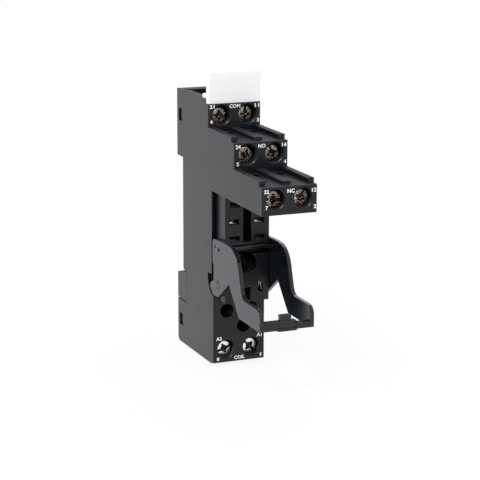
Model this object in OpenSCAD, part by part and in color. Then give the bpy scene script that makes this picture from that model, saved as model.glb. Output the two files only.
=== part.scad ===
// Two-pole relay socket for a 35 mm top-hat rail, one module wide.
// Three stepped tiers of contact terminals at the top, the relay seat with its
// blade slots in the middle, the coil terminals at the bottom, and a swinging
// plastic lever that holds the relay and ejects it.
// X runs across the socket, Y runs from the front to the wall, Z runs up.
// The origin is the middle of the rail seat, in the plane of the rail's front face.

/* [Body] */
// Width of the socket along the rail
body_w = 16.2; // [15.8:0.1:20]
// Height of the highest edge above the middle of the rail
top_z = 37.9; // [37.5:0.1:40]
// Depth of the lowest edge below the middle of the rail
bottom_drop = 41; // [40.8:0.1:44]
// Rise of the lower edge towards the front
bottom_rise = 0.55; // [0:0.05:1]
// Thickness of the outer side walls
side_wall = 0.9; // [0.75:0.05:1]
// Width of the thickened wall tops beside the wire channels
top_wall_w = 2; // [1.7:0.1:2.1]
// Bevel on the upright edges of the front faces
edge_bevel = 0.2; // [0.1:0.05:0.6]

/* [Terminal tiers] */
// Distance of the highest terminal face in front of the rail face
first_face = 21.2; // [21:0.1:23]
// How far each tier stands in front of the one above it
tier_step = 19.7; // [19.6:0.1:21]
// Drop from the highest wall top to the second one
tier_drop_1 = 8.15; // [7.95:0.05:8.6]
// Drop from the second wall top to the third one
tier_drop_2 = 8.8; // [8.3:0.05:9.2]
// Drop from the third wall top to the underside over the relay
tier_drop_3 = 9.15; // [9.1:0.05:10]
// Depth of the wire channels and of the front ledges below the wall tops
ledge_drop = 1.4; // [1.2:0.1:1.5]
// Length of the front ledges
ledge_len = 2.2; // [2:0.1:2.6]
// Width of the rib between the wire channels
rib_w = 2.8; // [2.4:0.1:3]
// How far the rib stays below the wall tops
rib_drop = 0.35; // [0.2:0.05:0.6]
// How far the wire channels widen towards their floors on each side
channel_flare = 0.3; // [0:0.05:0.4]
// Thickness of the partition between the left and the right terminals
partition_t = 1.2; // [0.8:0.1:1.4]

/* [Terminals] */
// Height of each upper terminal's screw below its wall top
screw_drop = 5.1; // [5.05:0.05:5.3]
// Height of the coil terminals' screws above the lowest edge
coil_screw_rise = 4.7; // [4.6:0.1:5.3]
// Radius of the screwdriver holes at their mouths
access_r = 3; // [2.9:0.05:3.05]
// How far the screwdriver holes' middles lie above the screws' axes
hole_rise = 0.3; // [0:0.05:0.4]
// Width of the bevel round the screwdriver holes' mouths
mouth_bevel = 0.35; // [0.2:0.05:0.4]
// Radius of the screw heads
head_r = 2.2; // [2:0.05:2.3]
// Thickness of the screw heads
head_h = 2; // [1.8:0.1:2.2]
// Depth of the screw heads below the terminal faces
head_sink = 2; // [1.6:0.1:2.4]
// Radius of the screw shanks
shank_r = 1.45; // [1.3:0.05:1.5]
// Length of the screws under the head
screw_len = 10.2; // [10:0.1:10.6]
// Width of the slot and the cross in the screw heads
drive_w = 0.8; // [0.5:0.05:0.9]
// Width of the clamp cages
cage_w = 5; // [4.6:0.1:5.2]
// Height of the clamp cages
cage_h = 4.8; // [4.4:0.1:4.9]
// Thickness of the clamp cages' sheet
cage_wall = 0.7; // [0.5:0.05:0.9]
// Thickness of the clamp cages' threaded end
thread_t = 2; // [1.6:0.1:2.2]
// Opening for the wire in each cage
wire_gap = 3.6; // [3.2:0.1:3.7]
// Travel of the cages between open and closed
cage_travel = 2.4; // [2:0.1:2.6]
// Length of the wire entries above the cages
entry_len = 3.9; // [3.7:0.1:3.9]

/* [Contacts] */
// Thickness of the contact metal
strip_t = 0.7; // [0.5:0.05:0.75]
// Distance of the contact slots from the middle plane
slot_x = 3.85; // [3.8:0.05:3.95]
// Height of the highest pair of contact slots
slot_top_z = 8.75; // [8.6:0.05:8.9]
// Spacing of the contact slots
slot_pitch = 5; // [4.9:0.05:5.1]
// Long side of the blade slots
slot_l = 3.1; // [2.8:0.1:3.3]
// Short side of the blade slots
slot_s = 1.5; // [1.4:0.05:1.6]
// Distance of the coil slots from the middle plane
coil_slot_x = 4.2; // [4.1:0.05:4.3]
// Depth of the coil slots below the middle of the rail
coil_slot_drop = 16; // [15.9:0.1:16.3]
// Gap between the two leaves of each blade fork
fork_gap = 0.45; // [0.35:0.05:0.6]

/* [Relay seat] */
// Distance of the seat's face in front of the rail face
seat_face = 31.1; // [30.9:0.1:31.6]
// Thickness of the seat from its face to the space behind it
seat_solid = 10.7; // [10.3:0.1:11]
// Depth of the seat's lower edge below the middle of the rail
seat_drop = 20.2; // [20:0.1:20.6]
// Radius of the well over the panel screw
well_r = 3.1; // [3:0.05:3.2]
// Depth of the well's axis below the middle of the rail
well_drop = 8.8; // [8.7:0.05:9]
// Radius of the panel screw's hole
panel_hole_r = 1.7; // [1.6:0.05:2]
// Radius of the holes for the plug-in coil module
module_hole_r = 2.1; // [1.9:0.05:2.2]
// Depth of the upper module holes below the middle of the rail
module_drop = 24.2; // [24:0.1:24.6]
// Distance of the coil terminals' face in front of the rail face
lower_face = 25.2; // [25:0.1:25.8]
// How far the side walls beside the seat stay behind the coil terminals' face
wall_setback = 1.4; // [1.2:0.1:1.6]

/* [Retaining lever] */
// Distance of the lever's front in front of the rail face
lever_reach = 59.8; // [59:0.1:61]
// Thickness of the lever's arms
arm_t = 1.1; // [0.9:0.05:1.15]
// Distance of the lever's pivot in front of the rail face
pivot_out = 29.05; // [28.9:0.05:29.2]
// Depth of the lever's pivot below the middle of the rail
pivot_drop = 14.95; // [14.85:0.05:15.05]
// Radius of the pivot pins
pin_r = 1.1; // [0.9:0.05:1.2]
// Depth of the lever's front bar from front to back
bar_d = 2; // [1.8:0.1:2.4]
// Height of the lever's front bar
bar_h = 2.5; // [2.3:0.1:2.9]

/* [Marker plate] */
// Height of the marker plate
plate_h = 9; // [7:0.1:10]
// Thickness of the marker plate
plate_t = 1.6; // [1.2:0.1:1.7]

/* [Rail seat] */
// Height of the rail
rail_h = 35; // [34.8:0.1:35.2]
// Thickness of the rail's flanges
rail_t = 1; // [0.9:0.1:1.1]
// How far the socket reaches behind the rail face
rail_back = 4.8; // [4.6:0.1:5.4]
// How far the hook and the latch grip behind the flanges
grip = 1.6; // [1.2:0.1:1.8]
// Travel of the rail latch
latch_travel = 2.5; // [1.9:0.1:2.6]

/* [Clearances] */
// Clearance between the housing and the rear cover
cover_gap = 0.1; // [0.05:0.01:0.15]
// Clearance round the moving metal parts
slide_gap = 0.2; // [0.15:0.01:0.25]
// Clearance beside the lever's arms and round the latch
swing_gap = 0.15; // [0.1:0.01:0.2]
// Clearance of the housing round the contact strips
strip_gap = 0.2; // [0.1:0.05:0.25]
// Radial clearance of the pivot pins and the screws' threads
pin_gap = 0.05; // [0.03:0.01:0.08]

/* [Hidden] */
$fn = 48;

// How far cuts run past the faces that they open
over = 0.5;
half = body_w / 2;
inner = half - side_wall;
pole_x = half / 2;
bottom_z = -bottom_drop;

// Rows 0 to 2 are the contact tiers from the top, and row 3 is the coil row.
COM = 0;
NO = 1;
NC = 2;
COIL = 3;
wall_tops = [top_z, top_z - tier_drop_1, top_z - tier_drop_1 - tier_drop_2];
under_z = wall_tops[NC] - tier_drop_3;
face_y = [-first_face, -first_face - tier_step, -first_face - 2 * tier_step, -lower_face];
screw_z = [wall_tops[COM] - screw_drop, wall_tops[NO] - screw_drop, wall_tops[NC] - screw_drop,
    bottom_z + coil_screw_rise];
lips = [for (top = wall_tops) top - ledge_drop];

// Radius of the screwdriver holes behind their bevels
bore_r = max(access_r - mouth_bevel, head_r + hole_rise + 0.1);

// Turns of the screws' slots for the rows 0 to 3, on the left and on the right
left_turns = [2, 60, -6, 20];
right_turns = [88, 112, 65, -45];

// Depths behind a terminal's face
shoulder_y = head_sink + head_h + slide_gap / 2;
shoulder_t = 3.3;
chamber_y = shoulder_y + shoulder_t;
cage_y = chamber_y + slide_gap + cage_travel;
tongue_y = head_sink + head_h + screw_len + slide_gap / 2;
cage_end = tongue_y + strip_t + wire_gap + cage_wall;
entry_y = cage_end - entry_len;
strip_drop = cage_h / 2 + slide_gap + strip_t;
tongue_w = cage_w - 2 * cage_wall - 0.8;

// The rail seat and its latch
seat_edge = rail_h / 2 + cover_gap;
grip_y = rail_t + swing_gap;
latch_half = 5;
latch_rib_half = 4;
latch_y1 = 3.65;
latch_y2 = rail_back - 0.2;
latch_top = -seat_edge - 1.8;
spring_top = latch_top - 2.6;
spring_short = 5.5;
spring_foot = spring_top - spring_short - latch_travel;
post_t = 1.7;
window_half = 1.9;
latch_end = bottom_z + 1.2;

// The seat, and the cavity behind it
arm_in = half - arm_t;
seat_y = -seat_face;
seat_half = arm_in - swing_gap;
seat_back = seat_y + seat_solid;
seat_skin = 1;
cover_t = 1.4;
cover_y = -cover_t;
flank_y = -2.6;
flank_z = -seat_edge - 9.3;

// The snap windows in the side walls: rear cover's snaps at the top and at the bottom
snap_d = 2.85;
snap_h = 3.8;
snaps = [[0.4, top_z - 9.5], [0.5, bottom_z + 5.5]];
front_step = 0.5;
floor_wall = 2.4;
cavity_floor = screw_z[COIL] + cage_h / 2 + slide_gap + strip_t;
slot_z = [slot_top_z - slot_pitch, slot_top_z, slot_top_z - 2 * slot_pitch, -coil_slot_drop];
well_z = -well_drop;
module_z = -module_drop;
well_end = -6;
boss_r = well_r + 0.9;
wall_front = wall_setback - lower_face;
lower_top = 0.8 - seat_drop;

// The risers behind the seat: inner edges and depths for the rows 0 to 2
riser_w = 1.4;
stub_x = slot_x - 0.45;
stub_y = seat_back + strip_gap;
riser_x = [pole_x + cage_w / 2 + slide_gap - strip_gap - riser_w, stub_x, stub_x - riser_w - 2 * strip_gap];
strip_x = [for (x = riser_x) max(x, pole_x - cage_w / 2)];
riser_y = [stub_y + 6 * strip_t, stub_y + 2 * riser_w - strip_t, stub_y + riser_w - strip_t];

// The lever
pivot = [-pivot_out, -pivot_drop];
lever_front = -lever_reach;
lip_front = min(lever_front - 0.5, face_y[NC]);
lever_bottom = -seat_drop - 0.6;
eject_z = pivot[1] + 11.55;

// A box between two corners
module box(low, high) {
    translate(low) cube(high - low);
}

// An outline in Y and Z, extruded from one X to another
module across(x0, x1) {
    translate([x0, 0, 0]) rotate([90, 0, 90]) linear_extrude(x1 - x0) children();
}

// A round bar along X through a point in Y and Z
module bar_x(x0, x1, at, r) {
    translate([x0, at[0], at[1]]) rotate([0, 90, 0]) cylinder(r = r, h = x1 - x0);
}

// A round bar along Y from y0 to y1
module bar_y(x, z, y0, y1, r) {
    translate([x, y0, z]) rotate([-90, 0, 0]) cylinder(r = r, h = y1 - y0);
}

// The children, and again on the left
module both_sides() {
    children();
    mirror([1, 0, 0]) children();
}

// Moves a part drawn at a terminal's own origin to its row and side.
// The origin is on the face at the screw's axis, with +Z towards the wire entry.
module at_terminal(side, row) {
    translate([side * pole_x, face_y[row], screw_z[row]])
        mirror([0, 0, row == COIL ? 1 : 0]) children();
}

function unit(v) = v / norm(v);

// The points that round the corner b of the path a, b, c to a radius
function round_corner(a, b, c, r, steps = 5) =
    r == 0 ? [b] :
    let (u = unit(a - b), w = unit(c - b), bend = acos(u * w), reach = r / tan(bend / 2),
        middle = b + unit(u + w) * r / sin(bend / 2), p = b + u * reach - middle,
        q = b + w * reach - middle, start = atan2(p[1], p[0]), raw = atan2(q[1], q[0]) - start,
        turn = raw > 180 ? raw - 360 : raw < -180 ? raw + 360 : raw)
    [for (i = [0:steps]) middle + r * [cos(start + turn * i / steps), sin(start + turn * i / steps)]];

// A closed outline from corners that each hold Y, Z and a radius
function rounded(corners) = let (n = len(corners), at = [for (c = corners) [c[0], c[1]]])
    [for (i = [0:n - 1])
        each round_corner(at[(i + n - 1) % n], at[i], at[(i + 1) % n], corners[i][2])];

// Side outline of the housing, without the seat
module housing_side() {
    polygon([
        [rail_back, top_z],
        [face_y[COM] + ledge_len, top_z],
        [face_y[COM] + ledge_len, lips[COM]],
        [face_y[COM], lips[COM]],
        [face_y[COM], wall_tops[NO]],
        [face_y[NO] + ledge_len, wall_tops[NO]],
        [face_y[NO] + ledge_len, lips[NO]],
        [face_y[NO], lips[NO]],
        [face_y[NO], wall_tops[NC]],
        [face_y[NC] + ledge_len, wall_tops[NC]],
        [face_y[NC] + ledge_len, lips[NC]],
        [face_y[NC], lips[NC]],
        [face_y[NC], under_z],
        [wall_front, under_z],
        [wall_front, lower_top],
        [face_y[COIL], lower_top],
        [face_y[COIL], bottom_z + bottom_rise + front_step],
        [face_y[COIL] + 2, bottom_z + bottom_rise + front_step],
        [face_y[COIL] + 2, bottom_z + bottom_rise],
        [rail_back - 1.2, bottom_z],
        [rail_back, bottom_z + 0.8],
        [rail_back, -seat_edge - 1.4],
        [0, -seat_edge],
        [0, seat_edge],
        [rail_back, seat_edge]
    ]);
}

// Bevels on the two upright edges of a front face
module face_bevels(y, z0, z1) {
    both_sides() translate([half, y, z0]) linear_extrude(z1 - z0)
        polygon([[-edge_bevel, 0], [0, edge_bevel], [over, edge_bevel], [over, -over],
            [-edge_bevel, -over]]);
}

// The two wire channels on top of a tier, and the lowered rib between them
module wire_channels(row) {
    y1 = row == COM ? rail_back + over : face_y[row - 1];
    y0 = face_y[row] + ledge_len - over;
    x0 = rib_w / 2;
    x1 = half - top_wall_w;
    both_sides() translate([0, y1, 0]) rotate([90, 0, 0]) linear_extrude(y1 - y0) polygon([
        [x0 - channel_flare, lips[row]],
        [x1 + channel_flare, lips[row]],
        [x1, wall_tops[row]],
        [x1, wall_tops[row] + over],
        [x0, wall_tops[row] + over],
        [x0, wall_tops[row]]
    ]);
    box([-rib_w, y0, wall_tops[row] - rib_drop], [rib_w, y1, wall_tops[row] + over]);
}

// The screwdriver hole, the screw's passage, the chamber and the wire entry of a terminal
module terminal_room(row) {
    back = cover_y + cover_gap - face_y[row];
    entry_z = cage_h / 2 + floor_wall + over;
    lap = 0.2;
    both_sides() translate([0, 0, hole_rise]) at_terminal(1, row) {
        bar_y(0, 0, -lap, shoulder_y, bore_r);
        translate([0, -lap, 0]) rotate([-90, 0, 0])
            cylinder(r1 = access_r + lap, r2 = bore_r - lap, h = access_r - bore_r + 2 * lap);
    }
    both_sides() at_terminal(1, row) {
        bar_y(0, 0, shoulder_y - over, chamber_y + over, shank_r + slide_gap);
        box([-cage_w / 2 - slide_gap, chamber_y, -strip_drop],
            [cage_w / 2 + slide_gap, back, cage_h / 2 + slide_gap]);
        box([rib_w / 2 + 0.1 - pole_x, entry_y, 0],
            [half - top_wall_w - 0.1 - pole_x, cage_end, entry_z]);
    }
}

// The blade slot and the pocket for its fork
module fork_room(row) {
    flat = row != COIL;
    x = flat ? slot_x : coil_slot_x;
    a = (flat ? slot_l : slot_s) / 2;
    b = (flat ? slot_s : slot_l) / 2;
    room_a = a + (flat ? 0.2 : 0.35);
    room_b = b + (flat ? 0.35 : 0.2);
    both_sides() {
        box([x - a, seat_y - over, slot_z[row] - b], [x + a, seat_y + seat_skin + over, slot_z[row] + b]);
        box([x - room_a, seat_y + seat_skin, slot_z[row] - room_b],
            [x + room_a, seat_back + over, slot_z[row] + room_b]);
    }
}

// The channels that let the contact strips rise behind the seat
module strip_room() {
    x1 = riser_x[COM] + riser_w + strip_gap;
    y1 = riser_y[COM] + strip_t + strip_gap;
    floor_z = screw_z[COM] - strip_drop;
    both_sides() {
        box([riser_x[NO] - strip_gap, riser_y[NO] - strip_gap, screw_z[NC]], [x1, y1, screw_z[NO]]);
        box([riser_x[COM] - strip_gap, riser_y[COM] - strip_gap, screw_z[NO]], [x1, y1, floor_z + over]);
        box([riser_x[COM] - strip_gap, riser_y[COM] - strip_gap, floor_z],
            [x1, face_y[COM] + chamber_y + over, floor_z + strip_t + strip_gap]);
    }
}

// The round-bottomed notch in the side wall for the lever's lobe
module lobe_notch() {
    both_sides() across(seat_half, half + over) difference() {
        union() {
            translate([pivot[0] + 3.05, pivot[1] + 0.75]) circle(r = 5.35);
            translate([seat_y - over, lower_top]) square([abs(seat_y) - 26 + over, 6.4]);
        }
        translate([seat_y, pivot[1] + 1.9]) square([seat_face, well_drop]);
        translate([seat_y - over, lower_top - seat_drop]) square([seat_face, seat_drop]);
    }
}

// The moulded body that carries the terminals and the relay seat
module housing() {
    color("#5f6064") difference() {
        union() {
            across(-half, half) housing_side();
            box([-seat_half, seat_y, -seat_drop], [seat_half, seat_back, under_z + 0.5]);
        }
        for (row = [COM, NO, NC]) wire_channels(row);
        for (row = [COM, NO, NC, COIL]) terminal_room(row);
        for (row = [COM, NO, NC, COIL]) fork_room(row);
        strip_room();
        cavity();
        seat_cuts();
        lobe_notch();
        cover_cuts();
        face_bevels(face_y[COM], wall_tops[NO], top_z);
        face_bevels(face_y[NO], wall_tops[NC], wall_tops[NO]);
        face_bevels(face_y[NC], under_z - over, wall_tops[NC]);
        face_bevels(face_y[COIL], bottom_z - over, lower_top + over);
        box([-0.9, face_y[COM] + 0.3, lips[COM] - 2], [0.9, face_y[COM] + 1.6, top_z + over]);
    }
}

// The open space behind the seat, less the well's tube and the partitions
module cavity() {
    difference() {
        union() {
            box([-inner, seat_back, cavity_floor], [inner, cover_y + cover_gap, screw_z[NC]]);
            box([-inner, face_y[COIL] + chamber_y, screw_z[COIL]],
                [inner, cover_y + cover_gap, cavity_floor + 1]);
        }
        bar_y(0, well_z, seat_back - over, well_end - cover_gap, boss_r);
        box([-partition_t / 2, seat_back - over, well_z + boss_r - 1],
            [partition_t / 2, well_end - cover_gap, top_z]);
        box([-partition_t / 2, seat_back - over, well_z + boss_r + cover_gap],
            [partition_t / 2, over, top_z]);
        box([-partition_t / 2, seat_back - over, bottom_z], [partition_t / 2, over, cavity_floor + 1.4]);
    }
}

// What the photograph shows on the relay seat and the lower face
module seat_cuts() {
    groove_d = 7;
    bar_y(0, well_z, seat_y - over, well_end + 1, well_r);
    box([-1.25, seat_y - over, -2.4], [1.25, seat_y + groove_d, under_z]);
    box([-1.15, seat_y - over, -seat_drop - over], [1.15, seat_y + groove_d, -16]);
    box([-seat_half - over, seat_y - over, eject_z - 2.8], [seat_half + over, seat_y + 2.8, eject_z + 0.3]);
    both_sides() {
        box([seat_half, wall_front - over, pivot[1] + 1.9], [half - 0.75, wall_front + 2.3, under_z]);
        bar_x(seat_half - 1.1, half + over, pivot, pin_r + pin_gap);
    }
    for (at = [[-pole_x + 0.2, 0], [pole_x - 0.2, 0], [pole_x / 2 - 0.6, -5]])
        bar_y(at[0], module_z + at[1], face_y[COIL] - over, seat_back + over, module_hole_r);
}

// The openings in the housing for the rear cover and its snaps
module cover_cuts() {
    box([-inner, cover_y, lips[COM]], [inner, rail_back + over, top_z + over]);
    box([-inner, cover_gap * 3, bottom_z - over], [inner, rail_back + over, top_z + over]);
    box([-inner, cover_y, screw_z[COIL]], [inner, rail_back + over, screw_z[COM]]);
    both_sides() {
        box([inner - over, flank_y - cover_gap, flank_z - 0.4],
            [half + over, rail_back + over, -seat_edge + over]);
        for (at = snaps)
            box([inner - over, at[0], at[1]], [half + over, at[0] + snap_d, at[1] + snap_h]);
    }
}

// Wedge-shaped snap that springs into a window of the side wall
module snap(at) {
    translate([inner - cover_gap - 0.01, at[0], at[1] + swing_gap]) linear_extrude(snap_h - 2 * swing_gap)
        polygon([[0, 0.2], [0.5, snap_d - 0.6], [0.5, snap_d - 0.2], [0, snap_d - 0.2]]);
}

// The moulded cover that closes the back and carries the rail hook
module rear_cover() {
    w = inner - cover_gap;
    tall = top_z - ledge_drop;
    pocket_w = w * 0.46;
    relief = 0.3;
    color("#66676b") difference() {
        union() {
            box([-w, cover_y + cover_gap, screw_z[COIL] + 0.2], [w, 0, screw_z[COM] - 0.2]);
            across(-w, w) polygon([[cover_gap * 4, seat_edge], [rail_back, seat_edge],
                [rail_back, top_z - 0.3], [rail_back - 0.3, top_z], [cover_gap * 4, top_z]]);
            box([-w, cover_y + cover_gap, seat_edge], [w, 1, screw_z[COM] - 0.2]);
            across(-w, w) polygon([[cover_gap * 4, -seat_edge], [rail_back, -seat_edge - 1.4],
                [rail_back, bottom_z + 0.8], [rail_back - 1.2, bottom_z], [cover_gap * 4, bottom_z]]);
            box([-w, cover_y + cover_gap, screw_z[COIL] + 0.2], [w, 1, -seat_edge]);
            across(-half, half) polygon([[flank_y, flank_z], [rail_back, flank_z],
                [rail_back, -seat_edge - 1.4], [0, -seat_edge], [flank_y, -seat_edge]]);
            box([-latch_half, grip_y, seat_edge - grip], [latch_half, grip_y + 2.2, seat_edge + 1]);
            bar_y(0, well_z, well_end, -0.5, boss_r);
            both_sides() {
                snap(snaps[0]);
                snap(snaps[1]);
            }
        }
        bar_y(0, well_z, well_end - over, over, panel_hole_r);
        box([-latch_half - swing_gap, rail_t, bottom_z - over],
            [latch_half + swing_gap, latch_y1 + swing_gap, -seat_edge + over]);
        box([-latch_rib_half - swing_gap, rail_t, bottom_z - over],
            [latch_rib_half + swing_gap, rail_back + over, -seat_edge + over]);
        for (i = [-1:1])
            box([i * pocket_w * 1.35 - pocket_w / 2, 1.8, seat_edge + 2.5],
                [i * pocket_w * 1.35 + pocket_w / 2, rail_back + over, tall - 2]);
        box([-w + 1.2, cover_y - over, spring_foot], [w - 1.2, -over, -seat_edge - 1]);
        for (s = [-1, 1])
            box([-latch_half - swing_gap, -relief, s > 0 ? seat_edge - grip - relief : -seat_edge - 0.01],
                [latch_half + swing_gap, over, s > 0 ? seat_edge + 0.01 : -seat_edge + grip + relief]);
    }
    color("#66676b")
        box([-window_half + 0.3, rail_t - over, spring_foot - post_t],
            [window_half - 0.3, latch_y2 - 0.2, spring_foot]);
}

// The sliding foot that grips the lower flange of the rail
module rail_latch() {
    color("#7b7e84") difference() {
        union() {
            box([-latch_half, grip_y, latch_end], [latch_half, latch_y1, -seat_edge - 0.3]);
            across(-latch_rib_half, latch_rib_half) polygon([[latch_y1 - 0.1, latch_end],
                [latch_y2, latch_end + 0.6], [latch_y2, latch_top], [latch_y1 - 0.1, latch_top]]);
            across(-latch_rib_half, latch_rib_half) polygon([[grip_y, -seat_edge - 0.4],
                [grip_y, grip - seat_edge - 0.2], [grip_y + 0.5, grip - seat_edge],
                [latch_y1, -seat_edge + 0.1], [latch_y1, -seat_edge - 0.4]]);
        }
        box([-window_half, 0, spring_foot - post_t - 0.3], [window_half, rail_back + over, spring_top]);
        box([-2.2, 0, latch_end + 1.4], [2.2, rail_back + over, latch_end + 3.2]);
    }
}

// One point list for each ring of the spring's wire
function ring(turns_at, z, r, wire) = [for (j = [0:7]) let (a = 45 * j)
    [(r + wire * cos(a)) * cos(turns_at), (r + wire * cos(a)) * sin(turns_at), z + wire * sin(a)]];

// The coil spring that pushes the latch up
module latch_spring() {
    wire = 0.22;
    coil_r = 1.25;
    turns = 7;
    per_turn = 12;
    rings = turns * per_turn;
    low = spring_foot + wire + pin_gap;
    rise = spring_top - spring_foot - 2 * (wire + pin_gap);
    points = [for (i = [0:rings]) each ring(i * 360 / per_turn, low + rise * i / rings, coil_r, wire)];
    sides = [for (i = [0:rings - 1], j = [0:7])
        [i * 8 + j, i * 8 + (j + 1) % 8, (i + 1) * 8 + (j + 1) % 8, (i + 1) * 8 + j]];
    ends = [[for (j = [7:-1:0]) j], [for (j = [0:7]) rings * 8 + j]];
    color("silver") translate([0, (rail_t + rail_back) / 2, 0])
        polyhedron(points, concat(sides, ends), convexity = 10);
}

// Side outline of the lever's arms in the closed position
module lever_side() {
    y = pivot[0];
    z = pivot[1];
    heel_y = y + 4.45;
    shelf_z = lever_bottom + 6;
    polygon(rounded([
        [heel_y, z + 12.85, 1.3],
        [y - 3.95, z + 13.3, 0],
        [y - 13.55, z + 13.3, 7.5],
        [y - 17.8, shelf_z, 3],
        [lever_front, shelf_z, 2.6],
        [lever_front, lever_bottom, 0.8],
        [lever_front + 15.1, lever_bottom, 0.6],
        [y - 8.15, z + 2.15, 0.4],
        [y + 0.15, z - 3.75, 0.8],
        [y + 4.05, z - 4.05, 1.2],
        [y + 6.95, z - 1.35, 0.8],
        [y + 4.15, z + 0.35, 0],
        [y + 3.65, z + 0.45, 0],
        [y + 3.65, z + 5.05, 0],
        [heel_y, z + 5.75, 0]
    ]));
}

// The lever that holds the relay, with its ejector bar and its thumb grip
module retaining_lever() {
    grip_half = 3;
    tab_half = 1.6;
    tab_h = 1.6;
    bar_top = lever_bottom + bar_h;
    low_top = bar_top - 0.8;
    lip_top = lever_bottom + 0.9;
    lip_h = 1;
    bar_back = lever_front + bar_d;
    dots = [[2.45, 10.8, 0.5], [-0.35, 10.45, 0.6]];
    color("#7b7e84") difference() {
        union() {
            both_sides() across(arm_in, half) lever_side();
            translate([0, bar_back, 0]) rotate([90, 0, 0]) linear_extrude(bar_d) polygon([
                [-half, lever_bottom],
                [half, lever_bottom],
                [half, low_top],
                [grip_half + 0.6, low_top],
                [grip_half - 0.2, bar_top],
                [-half, bar_top]
            ]);
            translate([0, 0, lip_top - lip_h]) linear_extrude(lip_h) polygon(rounded([
                [-grip_half, bar_back, 0],
                [-grip_half, lip_front, 0.7],
                [grip_half, lip_front, 0.7],
                [grip_half, bar_back, 0]
            ]));
            across(-tab_half, tab_half) polygon(rounded([
                [bar_back - 1.1, bar_top - 0.5, 0],
                [bar_back - 1.1, bar_top + tab_h, 0.3],
                [bar_back + 0.5, bar_top + tab_h, 0.5],
                [bar_back + 0.5, bar_top - 0.9, 0],
                [bar_back, bar_top - 1.4, 0]
            ]));
            across(-arm_in - 0.1, arm_in + 0.1) polygon(rounded([
                [seat_y + 0.1, eject_z, 0.6],
                [seat_y + 0.1, eject_z - 1.5, 0.6],
                [seat_y + 2.2, eject_z - 1.5, 0.6],
                [seat_y + 2.2, eject_z, 0.6]
            ]));
            both_sides() bar_x(seat_half - 1, arm_in + 0.1, pivot, pin_r);
        }
        bar_x(-grip_half, grip_half, [lever_front - 0.8, lip_top + 1.15], 1.5);
        both_sides() {
            difference() {
                bar_x(half - 0.2, half + over, pivot, pin_r + 0.2);
                bar_x(half - over, half + over, pivot, pin_r - 0.15);
            }
            for (dot = dots)
                bar_x(arm_in - over, half + over, pivot + [dot[0], dot[1]], dot[2]);
        }
    }
}

// The snap-on plate for the user's own marks
module marker_plate() {
    y0 = face_y[COM] + 0.1;
    y1 = y0 + plate_t;
    ear_r = 0.6;
    color("#f0f0ee") {
        difference() {
            box([-half, y0, lips[COM] + 0.02], [half, y1, lips[COM] + plate_h]);
            face_bevels(y0, lips[COM] - over, lips[COM] + plate_h + over);
        }
        box([-0.8, face_y[COM] + 0.4, lips[COM] - 1.6], [0.8, face_y[COM] + 1.4, lips[COM] + 1]);
        both_sides() {
            box([half - 1, y1 - 0.1, top_z + 0.05], [half, y1 + 2.4, top_z + 0.05 + 2 * ear_r]);
            bar_x(half - 1, half, [y1 + 2.4, top_z + 0.05 + ear_r], ear_r);
        }
    }
}

// Terminal screw with a slot and a cross in its head
module terminal_screw(side, row) {
    turn = side < 0 ? left_turns[row] : right_turns[row];
    crown_r = 6 * head_r;
    pit_r = 1.1;
    slot_depth = 0.8;
    cross_half = 1.5;
    cross_depth = 1.1;
    color(row == COIL ? "#d8d8d6" : "#8c8070") at_terminal(side, row) difference() {
        union() {
            intersection() {
                bar_y(0, 0, head_sink, head_sink + head_h, head_r);
                translate([0, head_sink + crown_r, 0]) sphere(r = crown_r);
            }
            bar_y(0, 0, head_sink + head_h - over, head_sink + head_h + screw_len, shank_r);
        }
        translate([0, head_sink, 0]) rotate([-90, 0, 0]) cylinder(r1 = pit_r, r2 = 0.3, h = 1.5);
        rotate([0, row == COIL ? turn : -turn, 0]) {
            box([-head_r - over, head_sink - over, -drive_w / 2],
                [head_r + over, head_sink + slot_depth, drive_w / 2]);
            for (a = [0, 90])
                rotate([0, a, 0]) box([-cross_half, head_sink - over, -drive_w / 2],
                    [cross_half, head_sink + cross_depth, drive_w / 2]);
        }
    }
}

// Sheet-metal cage that the screw draws towards its head
module clamp_cage(side, row) {
    color("#b9b7ae") at_terminal(side, row) difference() {
        box([-cage_w / 2, cage_y, -cage_h / 2], [cage_w / 2, cage_end, cage_h / 2]);
        box([-cage_w / 2 + cage_wall, cage_y + thread_t, -cage_h],
            [cage_w / 2 - cage_wall, cage_end - cage_wall, cage_h]);
        bar_y(0, 0, cage_y - over, cage_y + thread_t + over, shank_r + pin_gap);
    }
}

// Pair of spring leaves that grips one relay blade, drawn at the slot's middle
module fork(flat) {
    leaf_w = slot_l - 0.4;
    leaf_t = 0.4;
    y0 = seat_y + seat_skin + 0.2;
    y1 = seat_back - 1;
    rotate([0, flat ? 0 : 90, 0]) {
        for (s = [-1, 1]) across(-leaf_w / 2, leaf_w / 2) polygon([
            [y0, s * (fork_gap / 2 + 0.45)],
            [y0 + 1.3, s * fork_gap / 2],
            [y0 + 3.5, s * (fork_gap / 2 + 0.2)],
            [y1, s * (fork_gap / 2 + 0.2)],
            [y1, s * (fork_gap / 2 + 0.2 + leaf_t)],
            [y0 + 3.5, s * (fork_gap / 2 + 0.2 + leaf_t)],
            [y0 + 1.3, s * (fork_gap / 2 + leaf_t)],
            [y0, s * (fork_gap / 2 + 0.45 + leaf_t * 0.8)]
        ]);
        box([-leaf_w / 2, y1 - 1.2, -fork_gap / 2 - 0.3], [leaf_w / 2, y1, fork_gap / 2 + 0.3]);
    }
}

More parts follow.
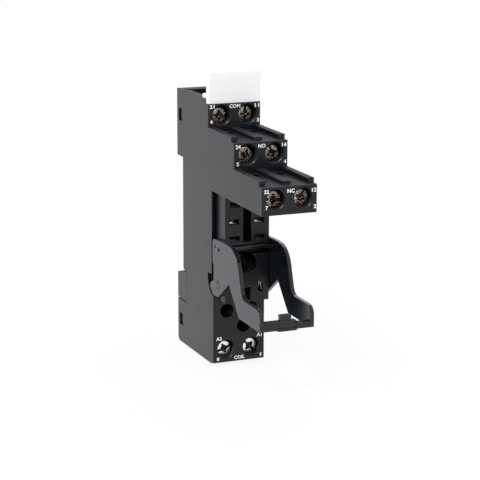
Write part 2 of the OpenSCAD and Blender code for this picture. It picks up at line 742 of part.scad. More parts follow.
// Contact of one pole: fork, riser behind the seat, strip and tongue in the clamp
module pole_contact(side, row) {
    rx = riser_x[row];
    sx = strip_x[row];
    ry = riser_y[row];
    z = slot_z[row];
    strip_z = screw_z[row] - strip_drop;
    tongue = face_y[row] + tongue_y;
    t2 = strip_t / 2;
    color("#c9a15a") mirror([side < 0 ? 1 : 0, 0, 0]) {
        translate([slot_x, 0, z]) fork(true);
        box([stub_x, seat_back - 2.1, z - t2], [stub_x + riser_w, stub_y + riser_w, z + t2]);
        box([min(rx, stub_x), stub_y, z - t2], [max(rx, stub_x) + riser_w, stub_y + riser_w, z + t2]);
        box([rx, stub_y, z - t2], [rx + riser_w, max(ry + strip_t, stub_y + riser_w), z + t2]);
        box([rx, ry, z - t2], [rx + riser_w, ry + strip_t, strip_z + strip_t]);
        box([sx, min(ry, tongue), strip_z], [sx + riser_w, max(ry, tongue) + strip_t, strip_z + strip_t]);
        box([min(sx, pole_x - tongue_w / 2), tongue - 1, strip_z],
            [max(sx + riser_w, pole_x + tongue_w / 2), tongue + strip_t, strip_z + strip_t]);
        box([pole_x - tongue_w / 2, tongue, strip_z],
            [pole_x + tongue_w / 2, tongue + strip_t, screw_z[row] + cage_h / 2]);
    }
}

// Contact of the coil: upright fork, drop behind the seat, strip and tongue
module coil_contact(side) {
    strip_z = screw_z[COIL] + strip_drop - strip_t;
    tongue = face_y[COIL] + tongue_y;
    drop_y = face_y[COIL] + chamber_y + slide_gap;
    z = slot_z[COIL];
    t2 = strip_t / 2;
    color("#c9a15a") mirror([side < 0 ? 1 : 0, 0, 0]) {
        translate([coil_slot_x, 0, z]) fork(false);
        box([coil_slot_x - t2, seat_back - 1.5, z - 1], [coil_slot_x + t2, drop_y + strip_t, z + 1]);
        box([coil_slot_x - 0.9, drop_y, strip_z], [coil_slot_x + 0.9, drop_y + strip_t, z + 1]);
        box([coil_slot_x - 0.9, drop_y, strip_z], [coil_slot_x + 0.9, tongue + strip_t, strip_z + strip_t]);
        box([pole_x - tongue_w / 2, tongue, screw_z[COIL] - cage_h / 2],
            [pole_x + tongue_w / 2, tongue + strip_t, strip_z + strip_t]);
    }
}

housing();
rear_cover();
rail_latch();
latch_spring();
retaining_lever();
marker_plate();
terminal_screw(1, COM);  // screw_11
terminal_screw(1, NC);  // screw_12
terminal_screw(1, NO);  // screw_14
terminal_screw(-1, COM);  // screw_21
terminal_screw(-1, NC);  // screw_22
terminal_screw(-1, NO);  // screw_24
terminal_screw(1, COIL);  // screw_a1
terminal_screw(-1, COIL);  // screw_a2
clamp_cage(1, COM);  // clamp_11
clamp_cage(1, NC);  // clamp_12
clamp_cage(1, NO);  // clamp_14
clamp_cage(-1, COM);  // clamp_21
clamp_cage(-1, NC);  // clamp_22
clamp_cage(-1, NO);  // clamp_24
clamp_cage(1, COIL);  // clamp_a1
clamp_cage(-1, COIL);  // clamp_a2
pole_contact(1, COM);  // contact_11
pole_contact(1, NC);  // contact_12
pole_contact(1, NO);  // contact_14
pole_contact(-1, COM);  // contact_21
pole_contact(-1, NC);  // contact_22
pole_contact(-1, NO);  // contact_24
coil_contact(1);  // contact_a1
coil_contact(-1);  // contact_a2
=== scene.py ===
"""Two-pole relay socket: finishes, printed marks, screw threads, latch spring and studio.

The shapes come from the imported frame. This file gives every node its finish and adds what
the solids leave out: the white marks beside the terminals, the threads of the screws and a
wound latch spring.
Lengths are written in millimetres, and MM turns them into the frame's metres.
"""
import logging
import math
from dataclasses import dataclass, field
from enum import Enum

import bmesh
import bpy
from mathutils import Matrix, Vector


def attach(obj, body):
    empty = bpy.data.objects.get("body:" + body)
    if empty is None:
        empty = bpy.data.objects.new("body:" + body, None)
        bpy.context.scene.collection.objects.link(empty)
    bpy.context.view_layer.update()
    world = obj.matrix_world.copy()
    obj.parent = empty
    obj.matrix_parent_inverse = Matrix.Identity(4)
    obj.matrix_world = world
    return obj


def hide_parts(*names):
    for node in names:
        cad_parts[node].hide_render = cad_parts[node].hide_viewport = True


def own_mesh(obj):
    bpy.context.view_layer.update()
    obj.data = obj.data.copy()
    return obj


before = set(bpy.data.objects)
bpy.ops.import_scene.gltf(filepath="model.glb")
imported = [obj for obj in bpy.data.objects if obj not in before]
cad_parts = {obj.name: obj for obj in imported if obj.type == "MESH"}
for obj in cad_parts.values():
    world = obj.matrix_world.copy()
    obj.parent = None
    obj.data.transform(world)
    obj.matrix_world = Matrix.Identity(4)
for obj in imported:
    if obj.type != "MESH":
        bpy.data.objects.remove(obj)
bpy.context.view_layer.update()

LOG = logging.getLogger("relay socket")
MM = 0.001
NOISE_MEAN = 0.5
Colour = tuple[float, float, float]
Place = tuple[float, float, float]
Span = tuple[float, float]
WHITE: Colour = (1.0, 1.0, 1.0)


class Row(Enum):
    """Terminal rows from the top, each with its face's distance in front of the rail face."""

    COM = 21.2
    NO = 40.9
    NC = 60.6
    COIL = 25.2


class Side(Enum):
    """Left and right pole, each with the sign of its X."""

    LEFT = -1
    RIGHT = 1


class Expr:
    """A shader value that ordinary arithmetic works on."""

    def __init__(self, shader: "Shader", socket: bpy.types.NodeSocket) -> None:
        """Wraps a socket.

        Args:
            shader: The shader that the socket belongs to.
            socket: The output socket that gives the value.
        """
        self.shader = shader
        self.socket = socket

    def _math(self, operation: str, *values: "Expr | float") -> "Expr":
        """Adds one Math node.

        Args:
            operation: The Math node's operation.
            values: Its inputs in order.

        Returns:
            The node's result.
        """
        node = self.shader.node("ShaderNodeMath", {"operation": operation}, dict(enumerate(values)))
        return Expr(self.shader, node.outputs[0])

    def __add__(self, other: "Expr | float") -> "Expr":
        """This value plus another."""
        return self._math("ADD", self, other)

    def __radd__(self, other: float) -> "Expr":
        """A number plus this value."""
        return self._math("ADD", other, self)

    def __sub__(self, other: "Expr | float") -> "Expr":
        """This value less another."""
        return self._math("SUBTRACT", self, other)

    def __rsub__(self, other: float) -> "Expr":
        """A number less this value."""
        return self._math("SUBTRACT", other, self)

    def __mul__(self, other: "Expr | float") -> "Expr":
        """This value times another."""
        return self._math("MULTIPLY", self, other)

    def __rmul__(self, other: float) -> "Expr":
        """A number times this value."""
        return self._math("MULTIPLY", other, self)

    def __truediv__(self, other: "Expr | float") -> "Expr":
        """This value divided by another."""
        return self._math("DIVIDE", self, other)

    def __rtruediv__(self, other: float) -> "Expr":
        """A number divided by this value."""
        return self._math("DIVIDE", other, self)

    def __pow__(self, other: float) -> "Expr":
        """This value to a power."""
        return self._math("POWER", self, other)

    def __rpow__(self, other: float) -> "Expr":
        """A number to the power of this value."""
        return self._math("POWER", other, self)

    def sine(self) -> "Expr":
        """The sine of this value."""
        return self._math("SINE", self)

    def larger(self, other: "Expr | float") -> "Expr":
        """The larger of this value and another."""
        return self._math("MAXIMUM", self, other)

    def step(self, low: float, high: float) -> "Expr":
        """Rises smoothly from 0 to 1.

        Args:
            low: Where the result is still 0.
            high: Where the result has reached 1.

        Returns:
            The smoothed value.
        """
        node = self.shader.node(
            "ShaderNodeMapRange",
            {"interpolation_type": "SMOOTHSTEP"},
            {"Value": self, "From Min": low, "From Max": high, "To Min": 0.0, "To Max": 1.0},
        )
        return Expr(self.shader, node.outputs["Result"])


def add_node(tree: bpy.types.NodeTree, kind: str, settings: dict | None = None,
             sockets: dict | None = None) -> bpy.types.Node:
    """Adds a node of any type to a tree.

    Args:
        tree: The tree.
        kind: The node's type.
        settings: Its properties, which are set first.
        sockets: Values, colours or links for its inputs, by name or index.

    Returns:
        The new node.
    """
    node = tree.nodes.new(kind)
    for name, value in (settings or {}).items():
        setattr(node, name, value)
    for name, value in (sockets or {}).items():
        socket = node.inputs[name]
        source = value.socket if isinstance(value, Expr) else value
        if isinstance(source, bpy.types.NodeSocket):
            tree.links.new(source, socket)
        elif isinstance(value, tuple) and len(socket.default_value) > len(value):
            socket.default_value = (*value, 1.0)
        else:
            socket.default_value = value
    return node


class Shader:
    """The node tree of one material or of the world."""

    def __init__(self, name: str, world: bpy.types.World | None = None) -> None:
        """Starts an empty tree.

        Args:
            name: Name of the material.
            world: The world, where the tree is the world's own.
        """
        self.owner = world or bpy.data.materials.new(name)
        self.owner.use_nodes = True
        self.tree = self.owner.node_tree
        self.tree.nodes.clear()

    def node(self, kind: str, settings: dict | None = None,
             sockets: dict | None = None) -> bpy.types.Node:
        """Adds a node of any type, with its settings and then its inputs' values and links."""
        return add_node(self.tree, kind, settings, sockets)

    def place(self) -> bpy.types.NodeSocket:
        """The point on the piece, in the frame's metres."""
        return self.node("ShaderNodeTexCoord").outputs["Object"]

    def parts(self, vector: bpy.types.NodeSocket) -> tuple[Expr, Expr, Expr]:
        """Splits a vector.

        Args:
            vector: The vector's socket.

        Returns:
            Its X, Y and Z.
        """
        node = self.node("ShaderNodeSeparateXYZ", None, {0: vector})
        return Expr(self, node.outputs[0]), Expr(self, node.outputs[1]), Expr(self, node.outputs[2])

    def noise(self, size: float, detail: float = 2.0) -> Expr:
        """Soft random clouds.

        Args:
            size: The clouds' size in millimetres.
            detail: How many finer layers they have.

        Returns:
            A value of about 0 to 1, with its mean at NOISE_MEAN.
        """
        node = self.node("ShaderNodeTexNoise", {"noise_dimensions": "3D"}, {
            "Vector": self.place(), "Scale": 1.0 / (size * MM), "Detail": detail, "Roughness": 0.55,
        })
        return Expr(self, node.outputs["Fac"])

    def mix(self, factor: Expr | float, low: Colour | bpy.types.NodeSocket,
            high: Colour | bpy.types.NodeSocket) -> bpy.types.NodeSocket:
        """Blends two colours.

        Args:
            factor: 0 for the first colour and 1 for the second.
            low: The first colour.
            high: The second colour.

        Returns:
            The blended colour.
        """
        node = self.node("ShaderNodeMix", {"data_type": "RGBA"}, {0: factor, 6: low, 7: high})
        return node.outputs[2]

    def toned(self, colour: Colour | bpy.types.NodeSocket, tone: Expr) -> bpy.types.NodeSocket:
        """Makes a colour lighter or darker.

        Args:
            colour: The colour.
            tone: What each channel is multiplied by.

        Returns:
            The changed colour.
        """
        node = self.node("ShaderNodeVectorMath", {"operation": "SCALE"}, {0: colour, "Scale": tone})
        return node.outputs[0]

    def rounded(self, radius: float) -> bpy.types.NodeSocket:
        """The normal with its sharp edges rounded, to a radius in millimetres."""
        return self.node("ShaderNodeBevel", {"samples": 6}, {"Radius": radius * MM}).outputs[0]

    def edges(self, rounded: bpy.types.NodeSocket) -> Expr:
        """Finds the edges that a rounded normal has.

        Args:
            rounded: The rounded normal.

        Returns:
            A mask that is 0 on flats and rises on edges.
        """
        flat = self.node("ShaderNodeNewGeometry").outputs["Normal"]
        dot = self.node("ShaderNodeVectorMath", {"operation": "DOT_PRODUCT"}, {0: rounded, 1: flat})
        return 1 - Expr(self, dot.outputs["Value"])

    def bump(self, height: Expr, depth: float,
             normal: bpy.types.NodeSocket | None = None) -> bpy.types.NodeSocket:
        """Raises and sinks the surface in the shading.

        Args:
            height: The height, 0 to 1.
            depth: The distance between 0 and 1, in millimetres.
            normal: The normal to start from.

        Returns:
            The new normal.
        """
        sockets = {"Strength": 1.0, "Distance": depth * MM, "Height": height}
        if normal is not None:
            sockets["Normal"] = normal
        return self.node("ShaderNodeBump", None, sockets).outputs[0]

    def surface(self, sockets: dict) -> bpy.types.Material:
        """Ends the tree in one plastic, metal or paint surface.

        Args:
            sockets: The surface's own values and links.

        Returns:
            The finished material.
        """
        surface = self.node("ShaderNodeBsdfPrincipled", None, sockets)
        self.node("ShaderNodeOutputMaterial", None, {"Surface": surface.outputs[0]})
        return self.owner


@dataclass(frozen=True)
class MouldedPlastic:
    """Filled nylon as it leaves the mould: fine matt grain, faint clouds, softened edges.

    Its tops are rougher than its sides, its edges are smoother and painted lighter, partly as
    wear and partly as a painted highlight, and haze is the faint sheen that it has at low angles.
    """

    name: str
    colour: Colour
    roughness: float = 0.32
    top_roughness: float = 0.7
    edge_roughness: float = 0.14
    gloss: float = 0.33
    haze: float = 0.05
    haze_colour: Colour = (0.25, 0.45, 1.0)
    clouds: float = 0.12
    grain_size: float = 0.16
    grain_depth: float = 0.007
    edge_radius: float = 0.3
    edge_wear_and_highlight: float = 1.5
    cloud_size: float = 6.0
    fleck_size: float = 0.7
    haze_roughness: float = 0.3
    grain_roughness: float = 0.12
    cloud_roughness: float = 0.06
    top_span: Span = (0.5, 0.9)
    lit_edge: Span = (0.0, 0.35)
    worn_edge: Span = (0.02, 0.2)

    def material(self) -> bpy.types.Material:
        """The plastic's material, rougher on its tops and smoother on its edges."""
        shader = Shader(self.name)
        cloud = shader.noise(self.cloud_size, 3.0) - NOISE_MEAN
        fleck = shader.noise(self.fleck_size) - NOISE_MEAN
        grain = shader.noise(self.grain_size)
        rounded = shader.rounded(self.edge_radius)
        edge = shader.edges(rounded)
        tone = 1.0 + cloud * (2.0 * self.clouds) + fleck * self.clouds
        # painted highlight: the edges' colour is lifted, partly as wear and partly as the highlight that
        # light lays on them
        tone = tone + edge.step(*self.lit_edge) * self.edge_wear_and_highlight
        _, _, upward = shader.parts(shader.node("ShaderNodeNewGeometry").outputs["Normal"])
        rough = self.roughness + upward.step(*self.top_span) * (self.top_roughness - self.roughness)
        rough = rough + (grain - NOISE_MEAN) * self.grain_roughness + cloud * self.cloud_roughness
        worn = edge.step(*self.worn_edge)
        return shader.surface({
            "Base Color": shader.toned(self.colour, tone),
            "Roughness": rough * (1 - worn) + worn * self.edge_roughness,
            "Specular IOR Level": self.gloss,
            "Sheen Weight": self.haze,
            "Sheen Roughness": self.haze_roughness,
            "Sheen Tint": self.haze_colour,
            "Normal": shader.bump(grain, self.grain_depth, rounded),
        })


@dataclass(frozen=True)
class MilkyPlastic:
    """Thin white plastic that lets a little light through."""

    name: str
    colour: Colour
    roughness: float = 0.35
    gloss: float = 0.4
    milk: float = 0.3
    milk_depth: float = 1.2
    base_tone: float = 0.985
    clouds: float = 0.03
    cloud_size: float = 5.0
    grain_size: float = 0.3
    grain_depth: float = 0.004
    grain_roughness: float = 0.1
    edge_radius: float = 0.15
    edge_shade: float = 0.04
    shaded_edge: Span = (0.0, 0.4)

    def material(self) -> bpy.types.Material:
        """The plate's material."""
        shader = Shader(self.name)
        cloud = shader.noise(self.cloud_size)
        grain = shader.noise(self.grain_size)
        rounded = shader.rounded(self.edge_radius)
        # painted shade: the plate's edges are coloured a little darker
        shade = shader.edges(rounded).step(*self.shaded_edge) * self.edge_shade
        return shader.surface({
            "Base Color": shader.toned(self.colour, self.base_tone + cloud * self.clouds - shade),
            "Roughness": self.roughness + (grain - NOISE_MEAN) * self.grain_roughness,
            "Specular IOR Level": self.gloss,
            "Subsurface Weight": self.milk,
            "Subsurface Radius": (1.0, 1.0, 1.0),
            "Subsurface Scale": self.milk_depth * MM,
            "Normal": shader.bump(grain, self.grain_depth, rounded),
        })


@dataclass(frozen=True)
class PrintedInk:
    """White pad-printed ink of the terminal marks."""

    name: str
    colour: Colour
    roughness: float = 0.5
    gloss: float = 0.3
    base_tone: float = 0.94
    patches: float = 0.12
    patch_size: float = 0.35
    patch_depth: float = 0.003
    patch_roughness: float = 0.1

    def material(self) -> bpy.types.Material:
        """The ink's material, a little uneven where the pad pressed less."""
        shader = Shader(self.name)
        patch = shader.noise(self.patch_size)
        return shader.surface({
            "Base Color": shader.toned(self.colour, self.base_tone + patch * self.patches),
            "Roughness": self.roughness + (patch - NOISE_MEAN) * self.patch_roughness,
            "Specular IOR Level": self.gloss,
            "Normal": shader.bump(patch, self.patch_depth),
        })


@dataclass(frozen=True)
class ScrewHead:
    """Where a screw's crowned head is, and the colour and depths of its recess's painted shade."""

    x: float
    y: float
    z: float
    crown_r: float
    recess_shade: Colour
    recess_from: float = 0.08
    recess_to: float = 0.4


@dataclass(frozen=True)
class PlatedSteel:
    """Plated steel with stains, and turning marks where it was turned.

    The stains hide up to the share stained of its colour, and the specks on a screw's head show
    bright clean metal to the given share, partly as wear and partly as painted glints.
    """

    name: str
    colour: Colour
    stain: Colour
    roughness: float = 0.3
    stained: float = 0.5
    stain_size: float = 0.8
    wear_depth: float = 0.0
    bare_glint: float = 0.0
    bare_glint_colour: Colour = (0.85, 0.84, 0.8)
    bare_glint_size: float = 0.4
    bare_glint_span: Span = (0.62, 0.66)
    stain_span: Span = (0.42, 0.62)
    stain_roughness: float = 0.12
    wear_size: float = 0.45
    grain_size: float = 0.12
    grain_share: float = 0.5
    grain_roughness: float = 0.15
    ring_pitch: float = 0.12
    ring_share: float = 0.5
    ring_depth: float = 0.004
    edge_radius: float = 0.1

    def material(self, head: ScrewHead | None = None) -> bpy.types.Material:
        """The metal's material.

        Args:
            head: The screw head that it is for, or none for sheet metal and wire.

        Returns:
            The material.
        """
        shader = Shader(self.name)
        patch = shader.noise(self.stain_size, 3.0).step(*self.stain_span)
        fine = shader.noise(self.grain_size)
        colour = shader.mix(patch * self.stained, self.colour, self.stain)
        height = fine * self.grain_share
        rounded = shader.rounded(self.edge_radius)
        if head is not None:
            x, y, z = shader.parts(shader.place())
            across = x - head.x * MM
            along = z - head.z * MM
            square = across * across + along * along
            rings = (square ** 0.5 * (2.0 * math.pi / (self.ring_pitch * MM))).sine()
            height = height + rings * self.ring_share
            # painted shade: the recess is coloured darker the deeper it lies under the crowned head
            sunk = y - square / (2.0 * head.crown_r * MM)
            depth = sunk.step((head.y + head.recess_from) * MM, (head.y + head.recess_to) * MM)
            # painted glints: specks of bright metal on the head, partly worn plating and partly highlights
            bare_glint = shader.noise(self.bare_glint_size, 1.0).step(*self.bare_glint_span) * self.bare_glint
            colour = shader.mix(bare_glint, shader.mix(depth, colour, head.recess_shade), self.bare_glint_colour)
            rounded = shader.bump(shader.noise(self.wear_size, 1.0), self.wear_depth, rounded)
        rough = self.roughness + (fine - NOISE_MEAN) * self.grain_roughness
        return shader.surface({
            "Base Color": colour,
            "Metallic": 1.0,
            "Roughness": rough + patch * self.stain_roughness,
            "Normal": shader.bump(height, self.ring_depth, rounded),
        })


def dress(name: str, material: bpy.types.Material) -> None:
    """Gives a node of the frame its material.

    Args:
        name: The node's name.
        material: The material for all of its slots.
    """
    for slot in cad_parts[name].material_slots:
        slot.material = material
    LOG.info("dressed %s in %s", name, material.name)


def finished(mesh: bpy.types.Mesh, name: str, material: bpy.types.Material, body: str) -> bpy.types.Object:
    """Puts a mesh into the scene as a piece of the socket.

    Args:
        mesh: The mesh, in the frame's metres.
        name: The piece's name.
        material: Its material.
        body: The body that it moves with.

    Returns:
        The new object.
    """
    mesh.materials.clear()
    mesh.materials.append(material)
    piece = bpy.data.objects.new(name, mesh)
    bpy.context.scene.collection.objects.link(piece)
    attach(piece, body)
    LOG.info("added %s with %d faces", name, len(mesh.polygons))
    return piece


@dataclass(frozen=True)
class Mark:
    """One word or number beside a terminal, with its middle, width and height."""

    text: str
    row: Row
    x: float
    z: float
    width: float
    height: float = 1.08


@dataclass
class PrintedMarks:
    """The white marks on the four rows' faces, with their weight as a share of their size."""

    thickness: float = 0.03
    weight: float = 0.026
    curve_steps: int = 3
    ink: PrintedInk = PrintedInk("white mark ink", (0.95, 0.955, 0.96))
    marks: tuple[Mark, ...] = (
        Mark("21", Row.COM, -6.93, 35.71, 1.5),
        Mark("COM", Row.COM, 0.08, 35.60, 3.35),
        Mark("11", Row.COM, 6.98, 35.52, 1.35),
        Mark("6", Row.COM, -7.09, 31.38, 0.8),
        Mark("3", Row.COM, 7.32, 31.19, 0.78),
        Mark("24", Row.NO, -6.92, 27.32, 1.5),
        Mark("NO", Row.NO, 0.19, 27.21, 2.2),
        Mark("14", Row.NO, 6.98, 27.18, 1.4),
        Mark("5", Row.NO, -7.0, 22.43, 0.78),
        Mark("4", Row.NO, 7.30, 22.35, 0.8),
        Mark("22", Row.NC, -6.83, 18.43, 1.42, 1.0),
        Mark("NC", Row.NC, 0.33, 18.26, 2.1),
        Mark("12", Row.NC, 7.17, 18.03, 1.35),
        Mark("7", Row.NC, -6.71, 14.05, 0.78),
        Mark("2", Row.NC, 7.47, 13.47, 0.78),
        Mark("A2", Row.COIL, -6.35, -32.6, 1.8),
        Mark("A1", Row.COIL, 6.47, -32.65, 1.65),
        Mark("8", Row.COIL, -6.65, -38.85, 0.8),
        Mark("COIL", Row.COIL, 0.17, -38.9, 3.4),
        Mark("1", Row.COIL, 6.98, -38.8, 0.42),
    )

    def _letters(self, mark: Mark) -> bpy.types.Mesh:
        """Makes the letters of one mark, drawn one unit thick and then sized.

        Args:
            mark: The mark.

        Returns:
            Its mesh at its place on the face, in metres.
        """
        curve = bpy.data.curves.new("mark", "FONT")
        curve.body = mark.text
        curve.offset = self.weight
        curve.extrude = 0.5
        curve.resolution_u = self.curve_steps
        text = bpy.data.objects.new("mark", curve)
        bpy.context.scene.collection.objects.link(text)
        evaluated = text.evaluated_get(bpy.context.evaluated_depsgraph_get())
        mesh = bpy.data.meshes.new_from_object(evaluated)
        bpy.data.objects.remove(text)
        bpy.data.curves.remove(curve)
        xs = [vertex.co.x for vertex in mesh.vertices]
        ys = [vertex.co.y for vertex in mesh.vertices]
        wide = max(xs) - min(xs)
        high = max(ys) - min(ys)
        middle = Matrix.Translation((-(min(xs) + max(xs)) / 2, -(min(ys) + max(ys)) / 2, 0.0))
        size = Matrix.Diagonal((mark.width / wide, mark.height / high, self.thickness, 1.0))
        upright = Matrix.Rotation(math.radians(90), 4, "X")
        place = Matrix.Translation((mark.x, -mark.row.value, mark.z))
        mesh.transform(Matrix.Scale(MM, 4) @ place @ upright @ size @ middle)
        return mesh

    def build(self) -> bpy.types.Object:
        """Prints all the marks as one piece on the base.

        Returns:
            The piece.
        """
        joined = bmesh.new()
        for mark in self.marks:
            letters = self._letters(mark)
            joined.from_mesh(letters)
            bpy.data.meshes.remove(letters)
        mesh = bpy.data.meshes.new("terminal_marks")
        joined.to_mesh(mesh)
        joined.free()
        return finished(mesh, "terminal_marks", self.ink.material(), "base")


@dataclass
class Winding:
    """Round wire or a thread's ridge, wound evenly round the Z axis."""

    turns: float
    radius: float
    length: float
    wire: float
    per_turn: int = 24
    sides: int = 4

    def _tree(self, material: bpy.types.Material) -> bpy.types.NodeTree:
        """Builds the node tree that winds the wire.

        Args:
            material: The wire's material.

        Returns:
            The tree, whose inputs are the turns, the radius, the length and the wire's radius.
        """
        tree = bpy.data.node_groups.new("winding", "GeometryNodeTree")
        face = tree.interface
        face.new_socket("Geometry", in_out="INPUT", socket_type="NodeSocketGeometry")
        for name in ("Turns", "Radius", "Length", "Wire"):
            face.new_socket(name, in_out="INPUT", socket_type="NodeSocketFloat")
        face.new_socket("Geometry", in_out="OUTPUT", socket_type="NodeSocketGeometry")
        given = add_node(tree, "NodeGroupInput").outputs
        spiral = add_node(tree, "GeometryNodeCurveSpiral", None, {
            "Resolution": self.per_turn, "Rotations": given["Turns"], "Height": given["Length"],
            "Start Radius": given["Radius"], "End Radius": given["Radius"],
        })
        profile = add_node(tree, "GeometryNodeCurvePrimitiveCircle", None, {
            "Resolution": self.sides, "Radius": given["Wire"],
        })
        sweep = add_node(tree, "GeometryNodeCurveToMesh", None, {
            "Curve": spiral.outputs["Curve"], "Profile Curve": profile.outputs["Curve"],
            "Fill Caps": True,
        })
        real = add_node(tree, "GeometryNodeRealizeInstances", None, {
            "Geometry": sweep.outputs["Mesh"],
        })
        paint = add_node(tree, "GeometryNodeSetMaterial", None, {
            "Geometry": real.outputs["Geometry"], "Material": material,
        })
        add_node(tree, "NodeGroupOutput", None, {"Geometry": paint.outputs["Geometry"]})
        return tree

    def mesh(self, name: str, place: Matrix, material: bpy.types.Material) -> bpy.types.Mesh:
        """Winds the wire and puts it in place.

        Args:
            name: The mesh's name.
            place: The turn and shift from the winding's own axis, in metres.
            material: The wire's material.

        Returns:
            The mesh, with its faces outward.
        """
        tree = self._tree(material)
        values = {
            "Turns": self.turns, "Radius": self.radius * MM,
            "Length": self.length * MM, "Wire": self.wire * MM,
        }
        carrier = bpy.data.objects.new("carrier", bpy.data.meshes.new("carrier"))
        bpy.context.scene.collection.objects.link(carrier)
        winding = carrier.modifiers.new("winding", "NODES")
        winding.node_group = tree
        for item in tree.interface.items_tree:
            if item.in_out == "INPUT" and item.name in values:
                winding[item.identifier] = values[item.name]
        evaluated = carrier.evaluated_get(bpy.context.evaluated_depsgraph_get())
        mesh = bpy.data.meshes.new_from_object(evaluated)
        carrier.modifiers.remove(winding)
        bpy.data.objects.remove(carrier)
        mesh.transform(place)
        mesh.name = name
        solid = bmesh.new()
        solid.from_mesh(mesh)
        bmesh.ops.recalc_face_normals(solid, faces=solid.faces)
        solid.to_mesh(mesh)
        solid.free()
        return mesh


@dataclass
class ScrewThreads:
    """The threads on the eight terminal screws, each a ridge that winds along the shank."""

    shank_r: float = 1.45
    crest: float = 0.035
    ridge: float = 0.16
    pitch: float = 0.5
    length: float = 9.2

    def build(self, name: str, body: str, at: Place, material: bpy.types.Material,
              slot: str) -> bpy.types.Object:
        """Winds the thread of one screw.

        Args:
            name: The piece's name.
            body: The screw's body.
            at: Where the thread starts under the head, in millimetres.
            material: The screw's material.
            slot: The material slot of the record; not used.

        Returns:
            The piece.
        """
        core_r = self.shank_r + self.crest - self.ridge
        winding = Winding(self.length / self.pitch, core_r, self.length, self.ridge)
        lying = Matrix.Rotation(math.radians(-90), 4, "X")
        place = Matrix.Translation([value * MM for value in at]) @ lying
        return finished(winding.mesh(name, place, material), name, material, body)


@dataclass
class LatchSpring:
    """The coil spring of the rail latch, which shortens as the latch is pulled down."""

    wire: float = 0.22
    coil_r: float = 1.25
    turns: float = 7.0
    foot_z: float = -29.95
    top_z: float = -22.05
    y: float = 2.9
    travel: float = 2.55
    per_turn: int = 32
    sides: int = 12
    steel: PlatedSteel = PlatedSteel("spring wire", (0.6, 0.6, 0.6), (0.4, 0.38, 0.35), stained=0.3)

    def build(self) -> bpy.types.Object:
        """Winds the spring in the place of its plain solid, which it hides.

        Returns:
            The piece.
        """
        material = self.steel.material()
        height = self.top_z - self.foot_z
        winding = Winding(
            self.turns, self.coil_r, height - 2 * self.wire, self.wire, self.per_turn, self.sides
        )
        place = Matrix.Translation((0.0, self.y * MM, (self.foot_z + self.wire) * MM))
        mesh = winding.mesh("latch_coil", place, material)
        mesh.shade_smooth()
        piece = finished(mesh, "latch_coil", material, "base")
        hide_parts("latch_spring")
        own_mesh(piece)
        return piece


@dataclass
class Terminals:
    """The eight screws, clamp cages and contacts."""

    pole_x: float = 4.05
    screw_z: dict[Row, float] = field(
        default_factory=lambda: {Row.COM: 32.8, Row.NO: 24.65, Row.NC: 15.85, Row.COIL: -36.3}
    )
    head_sink: float = 2.0
    head_h: float = 2.0
    crown_r: float = 13.2
    thread_gap: float = 0.4
    names: dict[str, tuple[Side, Row]] = field(default_factory=lambda: {
        "11": (Side.RIGHT, Row.COM), "12": (Side.RIGHT, Row.NC), "14": (Side.RIGHT, Row.NO),
        "21": (Side.LEFT, Row.COM), "22": (Side.LEFT, Row.NC), "24": (Side.LEFT, Row.NO),
        "a1": (Side.RIGHT, Row.COIL), "a2": (Side.LEFT, Row.COIL),
    })
    # painted shade for the screws' recesses, one colour for the upper screws and one for the coil screws
    upper_recess_shade: Colour = (0.042, 0.022, 0.013)
    coil_recess_shade: Colour = (0.07, 0.065, 0.05)
    bronze: PlatedSteel = PlatedSteel(
        "browned terminal steel", (0.3, 0.265, 0.22), (0.1, 0.068, 0.045),
        roughness=0.18, stained=0.8, stain_size=0.6, wear_depth=0.14, bare_glint=1.0,
    )
    bright: PlatedSteel = PlatedSteel(
        "bright coil terminal steel", (0.94, 0.94, 0.93), (0.6, 0.58, 0.54),
        roughness=0.16, stained=0.3, stain_size=0.8, wear_depth=0.05,
    )
    cage: PlatedSteel = PlatedSteel(
        "zinc clamp steel", (0.62, 0.62, 0.6), (0.45, 0.44, 0.4),
        roughness=0.4, stained=0.4, stain_size=1.5,
    )
    # The tinned contacts are one metal in lit and shaded copies: the COM and coil copies are painted
    # bright for their glints, the NO and NC copy is painted dark as shade.
    lit_tin: PlatedSteel = PlatedSteel(
        "tinned contact painted lit", (0.97, 0.97, 0.96), (0.9, 0.88, 0.84),
        roughness=0.05, stained=0.2, stain_size=1.5,
    )
    shaded_tin: PlatedSteel = PlatedSteel(
        "tinned contact painted shaded", (0.35, 0.34, 0.32), (0.2, 0.19, 0.17),
        roughness=0.5, stained=0.5, stain_size=1.2,
    )
    lit_coil_tin: PlatedSteel = PlatedSteel(
        "tinned coil contact painted lit", (0.97, 0.96, 0.94), (0.7, 0.62, 0.48),
        roughness=0.05, stained=0.4, stain_size=0.8,
    )
    threads: ScrewThreads = field(default_factory=ScrewThreads)

    def build(self) -> None:
        """Dresses every terminal and winds its screw's thread."""
        cage = self.cage.material()
        # painted light: the COM and coil rows take a lit copy of the tin, the NO and NC rows the shaded
        # copy
        tins = {
            Row.COM: self.lit_tin, Row.NO: self.shaded_tin,
            Row.NC: self.shaded_tin, Row.COIL: self.lit_coil_tin,
        }
        strips = {row: tin.material() for row, tin in tins.items()}
        for name, (side, row) in self.names.items():
            coil = row is Row.COIL
            steel = self.bright if coil else self.bronze
            recess_shade = self.coil_recess_shade if coil else self.upper_recess_shade
            slot = "coil_screw_steel" if coil else "screw_steel"
            x = side.value * self.pole_x
            y = self.head_sink - row.value
            z = self.screw_z[row]
            head = ScrewHead(x, y, z, self.crown_r, recess_shade)
            material = steel.material(head)
            dress(f"screw_{name}", material)
            dress(f"clamp_{name}", cage)
            dress(f"contact_{name}", strips[row])
            start = (x, y + self.head_h + self.thread_gap, z)
            self.threads.build(f"thread_{name}", f"screw_{name}", start, material, slot)


